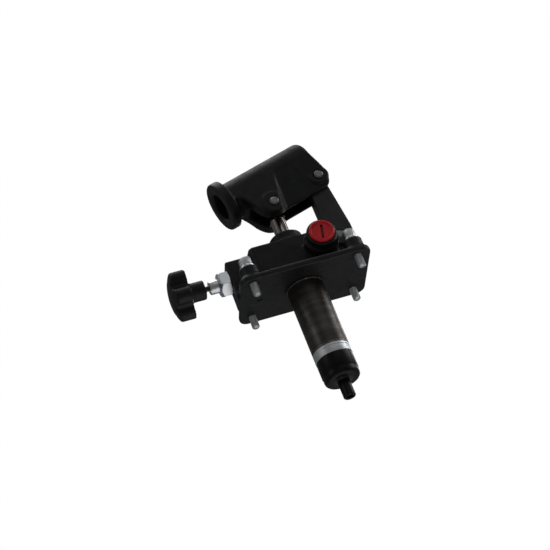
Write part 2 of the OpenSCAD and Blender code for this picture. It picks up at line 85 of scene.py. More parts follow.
def mount(name):
    return next(m for m in frame["record"]["mounts"] if m["name"] == name)


def screw_places():
    """Centres of the four flange screws, in the order of the CAD loop."""
    dims = mount("flange_studs")["dims"]
    half_x = dims["spacing_x_mm"] / 2 * MM
    half_y = dims["spacing_y_mm"] / 2 * MM
    return [Vector((sx * half_x, sy * half_y, 0)) for sx in (-1, 1) for sy in (-1, 1)]


# ---- mesh helpers --------------------------------------------------------------------------


def new_object(name, points, polygons, sharp=SHARP_ANGLE):
    """A smooth-shaded object from points and a list of polygon arrays, each with one corner count."""
    mesh = bpy.data.meshes.new(name)
    mesh.vertices.add(len(points))
    mesh.vertices.foreach_set("co", np.asarray(points, np.float32).ravel())
    loops, starts, at = [], [], 0
    for group in polygons:
        group = np.asarray(group, np.int32)
        if len(group) == 0:
            continue
        corners = group.shape[1]
        loops.append(group.ravel())
        starts.append(at + corners * np.arange(len(group), dtype=np.int32))
        at += corners * len(group)
    loops = np.concatenate(loops)
    starts = np.concatenate(starts)
    mesh.loops.add(len(loops))
    mesh.loops.foreach_set("vertex_index", loops)
    mesh.polygons.add(len(starts))
    mesh.polygons.foreach_set("loop_start", starts)
    mesh.update(calc_edges=True)
    mesh.validate()
    mesh.polygons.foreach_set("use_smooth", np.ones(len(mesh.polygons), bool))
    if sharp:
        mesh.set_sharp_from_angle(angle=sharp)
    made = bpy.data.objects.new(name, mesh)
    bpy.context.scene.collection.objects.link(made)
    return made


def arc(corner, before, after, radius):
    """Points that round the corner between two neighbours on a profile."""
    steps = 5
    a = (before - corner).normalized()
    b = (after - corner).normalized()
    half = a.angle(b) / 2
    reach = min(radius / math.tan(half), (before - corner).length * 0.49, (after - corner).length * 0.49)
    true_radius = reach * math.tan(half)
    middle = corner + (a + b).normalized() * (true_radius / math.sin(half))
    start = corner + a * reach - middle
    end = corner + b * reach - middle
    sweep = start.angle_signed(end)
    points = []
    for i in range(steps + 1):
        turned = start.copy()
        turned.rotate(Matrix.Rotation(-sweep * i / steps, 2))
        points.append(middle + turned)
    return points


def rounded(points, radius):
    """A profile of (radius, height) points with its corners rounded, all but the first and last point.
    A point may carry a radius of its own as a third value."""
    flat = [Vector(p[:2]) for p in points]
    out = [flat[0]]
    for i in range(1, len(flat) - 1):
        r = points[i][2] if len(points[i]) > 2 else radius
        if r > 0:
            out += arc(flat[i], flat[i - 1], flat[i + 1], r)
        else:
            out.append(flat[i])
    out.append(flat[-1])
    return [(p.x, p.y) for p in out]


def ring_points(radius, z, angles):
    """One ring of points; the radius is a number or a function of the angle."""
    r = radius(angles) if callable(radius) else np.full(len(angles), float(radius))
    return np.stack([r * np.cos(angles), r * np.sin(angles), np.full(len(angles), z)], 1)


def loft(name, rings, segments=SEGMENTS, closed=False, sharp=SHARP_ANGLE):
    """A solid from rings of (radius or function of the angle, height). They run from the axis back to it,
    or round a closed section, and go up on the outside, so that faces point outwards."""
    angles = np.arange(segments) * 2 * math.pi / segments
    points, rows, count = [], [], 0
    for radius, z in rings:
        if not callable(radius) and radius < 1e-7:
            points.append(np.array([[0, 0, z]]))
            rows.append(np.full(segments, count))
            count += 1
        else:
            points.append(ring_points(radius, z, angles))
            rows.append(count + np.arange(segments))
            count += segments
    if closed:
        rows.append(rows[0])
    quads, tris = [], []
    for a, b in zip(rows, rows[1:]):
        a2, b2 = np.roll(a, -1), np.roll(b, -1)
        if a[0] == a[1]:
            tris.append(np.stack([a, b2, b], 1))
        elif b[0] == b[1]:
            tris.append(np.stack([a, a2, b], 1))
        else:
            quads.append(np.stack([a, a2, b2, b], 1))
    groups = [np.concatenate(g) for g in (quads, tris) if g]
    return new_object(name, np.concatenate(points), groups, sharp)


def place(piece, where, axis=(0, 0, 1)):
    """Puts a piece made along +Z so that it runs along axis from where, in its own vertices."""
    turn = Vector((0, 0, 1)).rotation_difference(Vector(axis)).to_matrix().to_4x4()
    piece.data.transform(Matrix.Translation(Vector(where)) @ turn)
    return piece


def joined(name, parts):
    """One object from several, so that alike pieces of one CAD node stay one piece."""
    merged = bmesh.new()
    for part in parts:
        merged.from_mesh(part.data)
        bpy.data.objects.remove(part)
    mesh = bpy.data.meshes.new(name)
    merged.to_mesh(mesh)
    merged.free()
    made = bpy.data.objects.new(name, mesh)
    bpy.context.scene.collection.objects.link(made)
    return made


def cut(piece, cutter):
    """Takes the cutter out of the piece and leaves a plain mesh."""
    change = piece.modifiers.new("cut", "BOOLEAN")
    change.operation = "DIFFERENCE"
    change.solver = "EXACT"
    change.object = cutter
    graph = bpy.context.evaluated_depsgraph_get()
    mesh = bpy.data.meshes.new_from_object(piece.evaluated_get(graph))
    piece.modifiers.clear()
    piece.data = mesh
    mesh.polygons.foreach_set("use_smooth", np.ones(len(mesh.polygons), bool))
    mesh.set_sharp_from_angle(angle=SHARP_ANGLE)
    bpy.data.objects.remove(cutter)
    return piece


def bar(size, middle):
    """A block of a size round a middle, used only as a cutter."""
    x, y, z = (s / 2 for s in size)
    corners = [(sx * x, sy * y, sz * z) for sx in (-1, 1) for sy in (-1, 1) for sz in (-1, 1)]
    faces = [(0, 1, 3, 2), (4, 6, 7, 5), (0, 4, 5, 1), (2, 3, 7, 6), (0, 2, 6, 4), (1, 5, 7, 3)]
    made = new_object("cutter", corners, [faces], None)
    made.data.transform(Matrix.Translation(Vector(middle)))
    return made


# ---- castings: rounded by moving their surface out, in and out again ------------------------


def cad_triangles(node):
    """Points and triangles of a CAD node."""
    mesh = frame["nodes"][node].data
    mesh.calc_loop_triangles()
    points = np.empty(len(mesh.vertices) * 3, np.float32)
    mesh.vertices.foreach_get("co", points)
    triangles = np.empty(len(mesh.loop_triangles) * 3, np.int32)
    mesh.loop_triangles.foreach_get("vertices", triangles)
    return points.reshape(-1, 3), triangles.reshape(-1, 3)


def shifted(points, triangles, quads, distance, voxel):
    """The surface moved outwards by distance, as points and quads."""
    band = abs(distance) / voxel + 3
    grid = openvdb.FloatGrid.createLevelSetFromPolygons(
        points,
        triangles=triangles,
        quads=quads,
        transform=openvdb.createLinearTransform(voxelSize=voxel),
        halfWidth=band,
    )
    return grid.convertToQuads(distance)


def casting(name, node, fillet, edge, voxel):
    """A copy of a CAD node with filleted inside corners and rounded edges, as a foundry makes it.
    Its flat faces lie a hair under the CAD surface, so that moving castings keep clear of each other."""
    points, triangles = cad_triangles(node)
    none = np.zeros((0, 3), np.int32)
    points, quads = shifted(points, triangles, np.zeros((0, 4), np.int32), fillet, voxel)
    points, quads = shifted(points, none, quads, -fillet - edge, voxel)
    points, quads = shifted(points, none, quads, edge - PAINT_RELIEF, voxel)
    made = new_object(name, points, [np.asarray(quads)[:, ::-1]], None)
    relax = made.modifiers.new("relax", "SMOOTH")
    relax.factor = 0.5
    relax.iterations = 4
    return made


# ---- materials -------------------------------------------------------------------------------


class Shader:
    """A material with short calls for the nodes that the finishes below need."""

    def __init__(self, name):
        self.material = bpy.data.materials.new(name)
        self.material.use_nodes = True
        self.tree = self.material.node_tree
        self.surface = self.tree.nodes["Principled BSDF"]
        self.object_space = self.add("ShaderNodeTexCoord").outputs["Object"]

    def add(self, kind, **values):
        node = self.tree.nodes.new(kind)
        for key, value in values.items():
            setattr(node, key, value)
        return node

    def join(self, output, socket):
        self.tree.links.new(output, socket)

    def set(self, **values):
        for key, value in values.items():
            self.surface.inputs[key.replace("_", " ")].default_value = value

    def stretched(self, scale):
        mapping = self.add("ShaderNodeMapping")
        mapping.inputs["Scale"].default_value = scale
        self.join(self.object_space, mapping.inputs["Vector"])
        return mapping.outputs["Vector"]

    def noise(self, scale, detail=4.0, roughness=0.55, space=None):
        node = self.add("ShaderNodeTexNoise")
        node.inputs["Scale"].default_value = scale
        node.inputs["Detail"].default_value = detail
        node.inputs["Roughness"].default_value = roughness
        self.join(space or self.object_space, node.inputs["Vector"])
        return node.outputs["Fac"]

    def ramp(self, value, stops):
        node = self.add("ShaderNodeValToRGB")
        elements = node.color_ramp.elements
        while len(elements) < len(stops):
            elements.new(0.5)
        for element, (position, colour) in zip(elements, stops):
            element.position = position
            element.color = (*colour, 1) if len(colour) == 3 else colour
        self.join(value, node.inputs["Fac"])
        return node.outputs["Color"]

    def spread(self, value, low_in, high_in, low_out, high_out):
        node = self.add("ShaderNodeMapRange")
        for key, number in zip(
            ("From Min", "From Max", "To Min", "To Max"), (low_in, high_in, low_out, high_out)
        ):
            node.inputs[key].default_value = number
        self.join(value, node.inputs["Value"])
        return node.outputs["Result"]

    def edges(self, start, end):
        """0 on flat stretches and 1 on sharp outer edges, read from the mesh's pointiness."""
        return self.spread(self.add("ShaderNodeNewGeometry").outputs["Pointiness"], start, end, 0, 1)

    def times(self, a, b):
        node = self.add("ShaderNodeMath", operation="MULTIPLY")
        self.join(a, node.inputs[0])
        if isinstance(b, (int, float)):
            node.inputs[1].default_value = b
        else:
            self.join(b, node.inputs[1])
        return node.outputs[0]

    def blend(self, factor, a, b):
        node = self.add("ShaderNodeMix", data_type="RGBA")
        self.join(factor, node.inputs[0])
        for value, socket in ((a, node.inputs[6]), (b, node.inputs[7])):
            if isinstance(value, tuple):
                socket.default_value = (*value, 1)
            else:
                self.join(value, socket)
        return node.outputs[2]

    def bump(self, layers):
        """Stacked bumps: (height, distance in metres, strength)."""
        normal = None
        for height, distance, strength in layers:
            node = self.add("ShaderNodeBump")
            node.inputs["Distance"].default_value = distance
            node.inputs["Strength"].default_value = strength
            self.join(height, node.inputs["Height"])
            if normal:
                self.join(normal, node.inputs["Normal"])
            normal = node.outputs["Normal"]
        self.join(normal, self.surface.inputs["Normal"])

    def colour(self, output):
        self.join(output, self.surface.inputs["Base Color"])

    def rough(self, output):
        self.join(output, self.surface.inputs["Roughness"])


def cast_paint(name, shade):
    """Satin black enamel over a sand casting: soft lumps, grain, rubbed patches, and lighter edges that are
    partly paint worn thin and partly a painted highlight on the rounded edges.
    """
    s = Shader(name)
    dark = (0.0065 * shade, 0.0067 * shade, 0.0072 * shade)
    light = (0.0135 * shade, 0.0133 * shade, 0.0136 * shade)
    patches = s.ramp(s.noise(38, 5), [(0.3, dark), (0.72, light)])
    rubbed_places = s.spread(s.noise(24, 6), 0.5, 0.72, 0, 1)
    rubbed = s.times(rubbed_places, s.spread(s.noise(330, 5), 0.4, 0.7, 0.1, 0.5))
    surface = s.blend(rubbed, patches, (0.036, 0.0355, 0.035))
    # Lighter outer edges: partly paint worn through to metal, partly a painted highlight along the rounded
    # edges.
    lightened_edges = s.times(s.edges(0.508, 0.56), s.spread(s.noise(110, 5), 0.36, 0.62, 0.15, 0.6))
    s.colour(s.blend(lightened_edges, surface, (0.105, 0.103, 0.1)))
    s.rough(s.spread(s.noise(120, 6), 0.3, 0.7, 0.38, 0.58))
    s.set(Specular_IOR_Level=0.24)
    s.bump([
        (s.noise(190, 3), 0.55 * MM, 0.5),
        (s.noise(900, 4), 0.16 * MM, 0.5),
    ])
    return s.material


def turned_metal(name, dark, light, rough_low, rough_high, lines=0.015):
    """Bare or plated metal with fine turning marks round the axis and uneven patches."""
    s = Shader(name)
    grain = s.noise(1, 3, 0.6, s.stretched((60, 60, 2600)))
    stains = s.noise(40, 5)
    s.colour(s.ramp(stains, [(0.3, dark), (0.7, light)]))
    s.set(Metallic=1.0)
    s.rough(s.spread(stains, 0.3, 0.75, rough_low, rough_high))
    s.bump([(grain, lines * MM, 0.25), (s.noise(500, 3), 0.006 * MM, 0.25)])
    return s.material


def barrel_steel():
    """Drawn tube, oiled: brownish grey with lengthwise drawing marks and faint bands."""
    s = Shader("barrel_steel")
    bands = s.noise(1, 4, 0.6, s.stretched((14, 14, 150)))
    drawn = s.noise(1, 3, 0.6, s.stretched((1500, 1500, 18)))
    tube = s.ramp(bands, [(0.3, (0.056, 0.05, 0.044)), (0.72, (0.108, 0.101, 0.095))])
    bare = s.times(s.edges(0.515, 0.56), s.spread(s.noise(150, 5), 0.4, 0.6, 0.3, 1))
    s.colour(s.blend(bare, tube, (0.5, 0.5, 0.5)))
    s.set(Metallic=0.9)
    s.rough(s.spread(s.noise(70, 6), 0.3, 0.7, 0.34, 0.48))
    s.bump([(drawn, 0.05 * MM, 0.35), (s.noise(600, 5), 0.05 * MM, 0.3)])
    return s.material


def black_oxide():
    """Oiled black oxide on a turned part, browner where it was handled and bare on the edges."""
    s = Shader("black_oxide")
    stains = s.ramp(s.noise(60, 6), [(0.32, (0.006, 0.0058, 0.0058)), (0.7, (0.0135, 0.0124, 0.012))])
    lightened_edges = s.times(s.edges(0.55, 0.62), s.spread(s.noise(180, 5), 0.38, 0.6, 0.1, 0.6))
    s.colour(s.blend(lightened_edges, stains, (0.26, 0.255, 0.25)))
    s.set(Metallic=0.3, Specular_IOR_Level=0.22)
    s.rough(s.spread(s.noise(90, 5), 0.3, 0.7, 0.3, 0.44))
    turning = s.noise(1, 3, 0.6, s.stretched((50, 50, 2200)))
    s.bump([(turning, 0.05 * MM, 0.3), (s.noise(800, 4), 0.06 * MM, 0.35)])
    return s.material


def rubber():
    s = Shader("rubber")
    s.colour(s.ramp(s.noise(140, 5), [(0.3, (0.01, 0.01, 0.01)), (0.7, (0.02, 0.02, 0.021))]))
    s.rough(s.spread(s.noise(200, 4), 0.3, 0.7, 0.6, 0.8))
    s.bump([(s.noise(1200, 3), 0.05 * MM, 0.4)])
    return s.material


def red_plastic():
    """Moulded polyethylene: strong red, a little translucent, with a fine moulded grain, and painted shade
    that darkens its recesses.
    """
    s = Shader("red_plastic")
    # Painted shade: ambient occlusion darkens the slot and the sunk face towards a deep red.
    sunk = s.add("ShaderNodeAmbientOcclusion", samples=8)
    sunk.inputs["Distance"].default_value = 5 * MM
    shade = s.spread(sunk.outputs["AO"], 0.45, 0.97, 1, 0)
    red = s.ramp(s.noise(90, 4), [(0.3, (0.72, 0.008, 0.014)), (0.7, (0.86, 0.014, 0.024))])
    s.colour(s.blend(shade, red, (0.19, 0.003, 0.006)))
    s.rough(s.spread(s.noise(260, 4), 0.3, 0.7, 0.3, 0.44))
    s.set(Specular_IOR_Level=0.3, Subsurface_Weight=0.06)
    s.set(Subsurface_Radius=(0.9 * MM, 0.2 * MM, 0.15 * MM), Subsurface_Scale=1.0)
    s.bump([(s.noise(1400, 3), 0.03 * MM, 0.4)])
    return s.material


def black_plastic():
    """Glass-filled moulding: matt black with a fine even grain and slightly polished edges."""
    s = Shader("black_plastic")
    handled = s.times(s.edges(0.51, 0.56), 0.5)
    base = s.ramp(s.noise(50, 5), [(0.3, (0.0078, 0.0076, 0.0073)), (0.7, (0.0122, 0.0119, 0.0114))])
    s.colour(s.blend(handled, base, (0.034, 0.033, 0.031)))
    s.rough(s.spread(s.noise(420, 5), 0.3, 0.7, 0.42, 0.58))
    s.set(Specular_IOR_Level=0.27)
    s.bump([(s.noise(1700, 3), 0.09 * MM, 0.55), (s.noise(240, 3), 0.2 * MM, 0.2)])
    return s.material


def make_finishes():
    """Every finish: the record's slots by their names, and four more for pieces that look different."""
    return {
        "cast_paint": cast_paint("cast_paint", 1.0),
        "link_paint": cast_paint("link_paint", 3.6),
        "barrel_steel": barrel_steel(),
        "zinc": turned_metal("zinc", (0.68, 0.705, 0.73), (0.9, 0.915, 0.93), 0.3, 0.42),
        "screw_zinc": turned_metal("screw_zinc", (0.46, 0.475, 0.48), (0.7, 0.715, 0.72), 0.4, 0.54),
        "ring_zinc": turned_metal("ring_zinc", (0.6, 0.62, 0.63), (0.82, 0.84, 0.85), 0.44, 0.58),
        "dulled_zinc": turned_metal("dulled_zinc", (0.15, 0.15, 0.155), (0.27, 0.27, 0.275), 0.36, 0.5),
        "chrome": turned_metal("chrome", (0.3, 0.27, 0.25), (0.44, 0.41, 0.39), 0.14, 0.24, 0.002),
        "black_oxide": black_oxide(),
        "spring_steel": turned_metal("spring_steel", (0.16, 0.16, 0.165), (0.3, 0.3, 0.31), 0.3, 0.45),
        "brass": turned_metal("brass", (0.5, 0.36, 0.13), (0.66, 0.5, 0.22), 0.25, 0.4),
        "rubber": rubber(),
        "red_plastic": red_plastic(),
        "black_plastic": black_plastic(),
    }


finishes = make_finishes()
slot_of = {row["node"]: row["material_slot"] for row in frame["record"]["subparts"]}


def fit(piece, node, finish=None):
    """Gives a piece the body, slot and finish of the CAD node it stands for, and hides that node."""
    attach(piece, body_of_node[node])
    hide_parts(node)
    piece.data.materials.clear()
    piece.data.materials.append(finishes[finish or slot_of[node]])
    return piece


body_of_node = {
    node: body for body, members in frame["record"]["behaviour"]["bodies"].items() for node in members
}


# ---- barrel, cap and nozzle -------------------------------------------------------------------


def make_barrel():
    """The tube with its shoulder, bore and a fine line where the lock ring was run up."""
    z0, z1 = low("pump_barrel").z, high("pump_barrel").z
    shoulder = high("pump_barrel").x
    outer = high("barrel_lock_ring").x
    ring_top = high("barrel_lock_ring").z + 0.1 * MM
    bore = high("suction_cage").x + 0.05 * MM
    thread_r = outer - 2 * MM
    shoulder_low, shoulder_high = -1.4 * MM, 0.8 * MM
    line = ring_top + 2.6 * MM
    rings = rounded([
        (bore, z0, 0),
        (thread_r, z0, 0.3 * MM),
        (thread_r, ring_top, 0),
        (outer, ring_top, 0.45 * MM),
        (outer, line - 0.3 * MM, 0),
        (outer - 0.22 * MM, line, 0),
        (outer, line + 0.3 * MM, 0),
        (outer, shoulder_low, 0.3 * MM),
        (shoulder, shoulder_low, 0.3 * MM),
        (shoulder, shoulder_high, 0.2 * MM),
        (outer, shoulder_high, 0),
        (outer, z1, 0.4 * MM),
        (bore, z1, 0.3 * MM),
        (bore, z0, 0),
    ], 0)
    return fit(loft("barrel_tube", rings[:-1], 128, closed=True), "pump_barrel")


def make_lock_ring():
    """The plated ring: turned, with rounded edges and one fine groove."""
    z0, z1 = low("barrel_lock_ring").z, high("barrel_lock_ring").z
    outer = high("barrel_lock_ring").x
    inner = outer - 1.95 * MM
    groove = z0 + 6.8 * MM
    half = 0.3 * MM
    groove_r = outer - 0.35 * MM
    rings = rounded([
        (inner, z0, 0),
        (outer, z0, 0.7 * MM),
        (outer, groove - half, 0.12 * MM),
        (groove_r, groove - half / 2, 0),
        (groove_r, groove + half / 2, 0),
        (outer, groove + half, 0.12 * MM),
        (outer, z1, 0.6 * MM),
        (inner, z1, 0),
        (inner, z0, 0),
    ], 0)
    return fit(loft("lock_ring", rings[:-1], 144, closed=True), "barrel_lock_ring", "ring_zinc")


def make_end_cap():
    """The turned cap: plain wall, a fine step, and a well rounded end round the nozzle."""
    z0, z1 = low("suction_end_cap").z, high("suction_end_cap").z
    outer = high("suction_end_cap").x
    lower = outer - 0.5 * MM
    step = z0 + 8.5 * MM
    wall = high("suction_cage").x + 2.05 * MM
    nozzle_r = 5.6 * MM
    pocket_r = 12 * MM
    pocket_floor = z0 + 9.5 * MM
    pocket_top = z0 + 16.4 * MM
    rings = rounded([
        (nozzle_r, z0, 0),
        (lower, z0, 6 * MM),
        (lower, step, 0),
        (outer - 0.15 * MM, step + 0.05 * MM, 0),
        (outer, step + 0.3 * MM, 0),
        (outer, z1, 0.5 * MM),
        (wall, z1, 0.2 * MM),
        (wall, pocket_top, 0),
        (pocket_r, pocket_top, 0),
        (pocket_r, pocket_floor, 0),
        (nozzle_r, pocket_floor, 0),
        (nozzle_r, z0, 0),
    ], 0)
    return fit(loft("end_cap", rings[:-1], 128, closed=True), "suction_end_cap")


def make_nozzle():
    """The suction nozzle, with a chamfered tip and a neck inside the cap."""
    z0, z1 = low("suction_nozzle").z, high("suction_nozzle").z
    outer = high("suction_nozzle").x
    cap = low("suction_end_cap").z
    bore = 3.6 * MM
    inside_cap_r = 5.55 * MM
    meets_cap = cap - 0.05 * MM
    rings = rounded([
        (bore, z0 + 0.6 * MM, 0),
        (bore + 0.7 * MM, z0, 0.1 * MM),
        (outer - 0.7 * MM, z0, 0.2 * MM),
        (outer, z0 + 0.9 * MM, 0.3 * MM),
        (outer, meets_cap, 0.1 * MM),
        (inside_cap_r, meets_cap, 0),
        (inside_cap_r, z1, 0.2 * MM),
        (bore, z1, 0.2 * MM),
        (bore, z0 + 0.6 * MM, 0),
    ], 0)
    return fit(loft("suction_tip", rings[:-1], 96, closed=True), "suction_nozzle")


def make_foot_spring():
    """The foot valve's spring: a wire coil with flat end turns, squeezed against the cage by the ball."""
    z0, z1 = low("suction_spring").z, high("suction_spring").z
    wire_r = 0.38 * MM
    coil_r = high("suction_spring").x - 0.4 * MM
    turns = 4
    steps = turns * 40
    around = np.arange(12) * 2 * math.pi / 12
    section = np.stack([coil_r + wire_r * np.cos(around), wire_r * np.sin(around)], 1)
    part_way = np.linspace(0, turns, steps + 1)
    climb = np.clip((part_way - 0.75) / (turns - 1.5), 0, 1)
    lifts = z0 + wire_r + (z1 - z0 - 2 * wire_r) * climb
    piece = fit(swept("foot_spring", section, part_way * 2 * math.pi, lifts), "suction_spring")
    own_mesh(piece)
    return piece


# ---- screws and washers -----------------------------------------------------------------------


def thread_radius(root, crest, pitch, z):
    """Radius round a right-handed thread at one height: a flat-topped ridge that climbs with the angle."""

    def radius(angles):
        phase = (z / pitch - angles / (2 * math.pi)) % 1
        ridge = np.clip((0.5 - np.abs(phase - 0.5)) * 2.6 - 0.25, 0, 1)
        return root + (crest - root) * ridge

    return radius


def capped(radius, limit):
    """A thread cut back to a chamfer."""
    return lambda angles: np.minimum(radius(angles), limit)


def hexagon(flats, chamfer_r=None):
    """Radius round a hexagon, held to a chamfer circle where there is one."""

    def radius(angles):
        sector = (angles % (math.pi / 3)) - math.pi / 6
        r = flats / 2 / np.cos(sector)
        return np.minimum(r, chamfer_r) if chamfer_r else r

    return radius


def screw_rings():
    """One M8 cap screw, from its point up to the socket, at the origin in X and Y."""
    tip = low("flange_screws").z
    top = high("flange_screws").z
    crest = mount("flange_studs")["dims"]["stud_r_mm"] * MM
    root = crest - 0.62 * MM
    head = top - 8 * MM
    head_r = 6.5 * MM
    under_head_r = head_r - 0.3 * MM
    rim_r = head_r - 0.1 * MM
    thread_top = 2 * MM
    runout = crest - 0.06 * MM
    rings = [(0, tip), (crest - 1.5 * MM, tip)]
    steps = int((thread_top - tip) / THREAD_PITCH * 8)
    for i in range(1, steps + 1):
        z = tip + (thread_top - tip) * i / steps
        chamfer = crest - 1.3 * MM + (z - tip) * 1.1
        r = thread_radius(root, crest, THREAD_PITCH, z)
        rings.append((capped(r, chamfer) if chamfer < crest else r, z))
    rings += [(runout, thread_top + 0.5 * MM), (runout, head), (under_head_r, head)]
    ridges = 40

    def knurl(angles):
        tooth = (np.round(angles / (2 * math.pi) * ridges * 3) % 3) == 0
        return np.where(tooth, head_r - 0.22 * MM, head_r)

    shoulder = head_r - 0.32 * MM
    key = hexagon(6 * MM)
    key_mouth = hexagon(6.5 * MM)
    rings += [
        (rim_r, head + 0.25 * MM),
        (rim_r, head + 0.6 * MM),
        (knurl, head + 0.9 * MM),
        (knurl, top - 1.6 * MM),
        (shoulder, top - 1.2 * MM),
        (shoulder - 0.1 * MM, top - 0.5 * MM),
        (shoulder - 0.7 * MM, top),
        (key_mouth, top),
        (key, top - 0.35 * MM),
        (key, top - 4.3 * MM),
        (0, top - 5 * MM),
    ]
    return rings


def make_cap_screws():
    """The four screws as one piece, each turned to an angle of its own."""
    rings = screw_rings()
    parts = []
    for i, where in enumerate(screw_places()):
        part = loft(f"screw_{i}", rings, 120)
        part.data.transform(Matrix.Rotation(math.radians(17 + 41 * i), 4, "Z"))
        parts.append(place(part, where))
    return fit(joined("cap_screws", parts), "flange_screws", "screw_zinc")


def swept(name, section, angles, lifts):
    """A section of (radius, height) points carried round the Z axis, lifted at each angle, its ends flat."""
    count = len(section)
    around = np.arange(count)
    points, sides = [], []
    for angle, lift in zip(angles, lifts):
        r, z = section[:, 0], section[:, 1] + lift
        points.append(np.stack([r * math.cos(angle), r * math.sin(angle), z], 1))
    for i in range(len(angles) - 1):
        a = i * count + around
        b = i * count + np.roll(around, -1)
        sides.append(np.stack([a, a + count, b + count, b], 1))
    ends = np.stack([around, (len(angles) - 1) * count + around[::-1]])
    return new_object(name, np.concatenate(points), [np.concatenate(sides), ends])


def split_ring(name, inner, outer, z0, z1, rise, gap):
    """A spring washer: a square section turned almost once, with ends that stand apart."""
    soft = 0.2 * MM
    profile = rounded([(inner, z0), (outer, z0), (outer, z1), (inner, z1), (inner, z0)], soft)
    section = np.array([(inner + soft, z0)] + profile[1:-1])
    stations = 73
    angles = np.linspace(gap / 2, 2 * math.pi - gap / 2, stations)
    return swept(name, section, angles, rise * np.linspace(-0.5, 0.5, stations))


def make_spring_washers():
    z0, z1 = low("spring_washers").z, high("spring_washers").z
    lift = 0.1 * MM
    parts = []
    for i, where in enumerate(screw_places()):
        part = split_ring(f"lock_washer_{i}", WASHER_HOLE, 6.4 * MM, z0 + lift, z1 - lift, 0.18 * MM, 0.14)
        part.data.transform(Matrix.Rotation(math.radians(200 + 70 * i), 4, "Z"))
        parts.append(place(part, where))
    return fit(joined("split_washers", parts), "spring_washers")


def make_flat_washers():
    """The four flat washers as one piece."""
    z0, z1 = low("flat_washers").z, high("flat_washers").z
    outer = high("flat_washers").x - screw_places()[-1].x
    rings = rounded([
        (WASHER_HOLE, z0, 0),
        (outer, z0, 0.35 * MM),
        (outer, z1, 0.25 * MM),
        (WASHER_HOLE, z1, 0.15 * MM),
        (WASHER_HOLE, z0, 0),
    ], 0)[:-1]
    parts = []
    for i, where in enumerate(screw_places()):
        parts.append(place(loft(f"plain_washer_{i}", rings, 72, closed=True), where))
    return fit(joined("plain_washers", parts), "flat_washers")


# ---- release valve ----------------------------------------------------------------------------


def make_valve():
    """Cartridge with a chamfered hexagon and a polished neck, turned along -X."""
    lo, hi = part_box("release_valve_body")
    axis_z = centre("release_valve_body").z
    face = low("pump_body").x
    start, end = -hi.x, -lo.x
    lug = -face
    hex_length = 11.5 * MM
    hex_end = lug + hex_length
    flats = hi.y - lo.y
    corner = flats / 2 / math.cos(math.pi / 6)
    neck = 7 * MM
    thread_r = 8 * MM
    relief_r = 7.2 * MM
    bore = high("release_spindle").z - axis_z + 0.06 * MM
    hexa = hexagon(flats)
    rings = [
        (bore, start),
        (7.6 * MM, start),
        (thread_r, start + 0.5 * MM),
        (thread_r, lug - 0.9 * MM),
        (relief_r, lug - 0.6 * MM),
        (relief_r, lug),
        (flats / 2 - 0.2 * MM, lug + 0.05 * MM),
        (hexagon(flats, flats / 2 + 0.1 * MM), lug + 0.25 * MM),
        (hexagon(flats, corner - 0.55 * MM), lug + 0.75 * MM),
        (hexagon(flats, corner - 0.1 * MM), lug + 1.3 * MM),
        (hexa, lug + 1.6 * MM),
        (hexa, hex_end - 3.2 * MM),
        (hexagon(flats, corner - 0.2 * MM), hex_end - 2.8 * MM),
        (hexagon(flats, corner - 0.9 * MM), hex_end - 1.9 * MM),
        (hexagon(flats, flats / 2 - 0.1 * MM), hex_end - 0.9 * MM),
        (flats / 2 - 1.3 * MM, hex_end),
        (neck + 0.8 * MM, hex_end),
        (neck, hex_end + 0.6 * MM),
        (neck, end - 1.3 * MM),
        (neck - 0.25 * MM, end - 0.7 * MM),
        (neck - 1.5 * MM, end),
        (bore + 0.5 * MM, end),
        (bore, end - 0.5 * MM),
    ]
    piece = loft("valve_cartridge", rings, 144, closed=True)
    return fit(place(piece, (0, 0, axis_z), (-1, 0, 0)), "release_valve_body")


def make_spindle():
    """The release spindle: cone point, plain shank, and a fine thread where it leaves the cartridge."""
    lo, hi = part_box("release_spindle")
    axis_z = centre("release_spindle").z
    radius = (hi.z - lo.z) / 2
    neck_end = -low("release_valve_body").x
    hub = -high("release_knob").x
    start, end = -hi.x, -lo.x
    rings = [(0, start), (0.6 * MM, start), (radius, start + 3.6 * MM), (radius, neck_end - 4 * MM)]
    thread_start, thread_end = neck_end - 3.5 * MM, hub + 4 * MM
    steps = int((thread_end - thread_start) / THREAD_PITCH * 8)
    for i in range(steps + 1):
        x = thread_start + (thread_end - thread_start) * i / steps
        rings.append((thread_radius(radius - 0.45 * MM, radius, THREAD_PITCH, x), x))
    rings += [(radius, thread_end + 0.5 * MM), (radius, end - 0.4 * MM), (radius - 0.4 * MM, end), (0, end)]
    piece = loft("release_screw", rings, 48)
    return fit(place(piece, (0, 0, axis_z), (-1, 0, 0)), "release_spindle")


# ---- rod, gland and pins ----------------------------------------------------------------------


def make_gland_nut():
    """The black nut in the top of the tower, with its spanner holes."""
    z0, z1 = low("gland_nut").z, high("gland_nut").z
    outer = high("gland_nut").x
    recess = high("rod_wiper").x
    seat = low("rod_wiper").z
    bore = high("rod_seal").x - 3.3 * MM
    rings = rounded([
        (bore, z0, 0),
        (outer, z0, 0.3 * MM),
        (outer, z1, 0.5 * MM),
        (recess, z1, 0.3 * MM),
        (recess, seat, 0),
        (bore, seat, 0),
        (bore, z0, 0),
    ], 0)[:-1]
    piece = loft("gland_ring", rings, 96, closed=True)
    floor, top = z1 - 2.6 * MM, z1 + MM
    hole_r = 1.3 * MM
    ring_r = outer - 0.9 * MM
    for quarter in range(4):
        angle = quarter * math.pi / 2
        hole = loft("cutter", [(0, floor), (hole_r, floor), (hole_r, top), (0, top)], 24)
        cut(piece, place(hole, (ring_r * math.cos(angle), ring_r * math.sin(angle), 0)))
    return fit(piece, "gland_nut")


